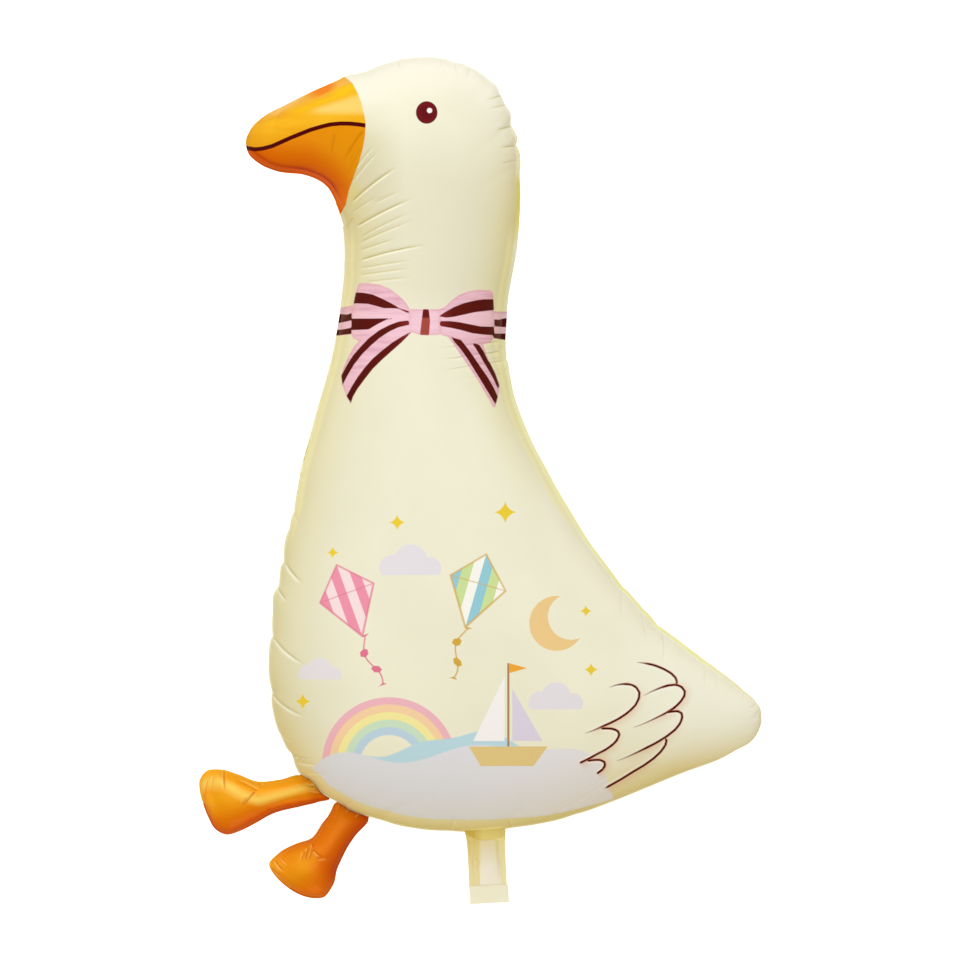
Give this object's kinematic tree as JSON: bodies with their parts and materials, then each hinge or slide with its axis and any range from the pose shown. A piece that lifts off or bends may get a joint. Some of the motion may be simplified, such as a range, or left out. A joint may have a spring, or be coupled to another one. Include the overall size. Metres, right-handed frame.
{
  "type": "goose foil balloon",
  "caption": "Filled foil balloon in the outline of a standing goose, with sealed edge flange, filler tab and orange leg cushions, lying on its back sheet.",
  "frame": {"origin": "middle of the bounding box in plan, on the floor under the flat spot of the back sheet", "axes": "+X towards the tail, +Y towards the crown of the head, +Z out of the front sheet; the heat seal lies in a level plane"},
  "size_m": [0.5176, 0.7802, 0.1997],
  "materials": {
    "printed_cream_foil": "satin printed film, cream with printed beak, eye, bow and feather lines",
    "printed_orange_foil": "glossy printed film"
  },
  "bodies": {
    "root": {"balloon_body": "printed_cream_foil", "front_leg": "printed_orange_foil", "rear_leg": "printed_orange_foil"}
  },
  "joints": []
}
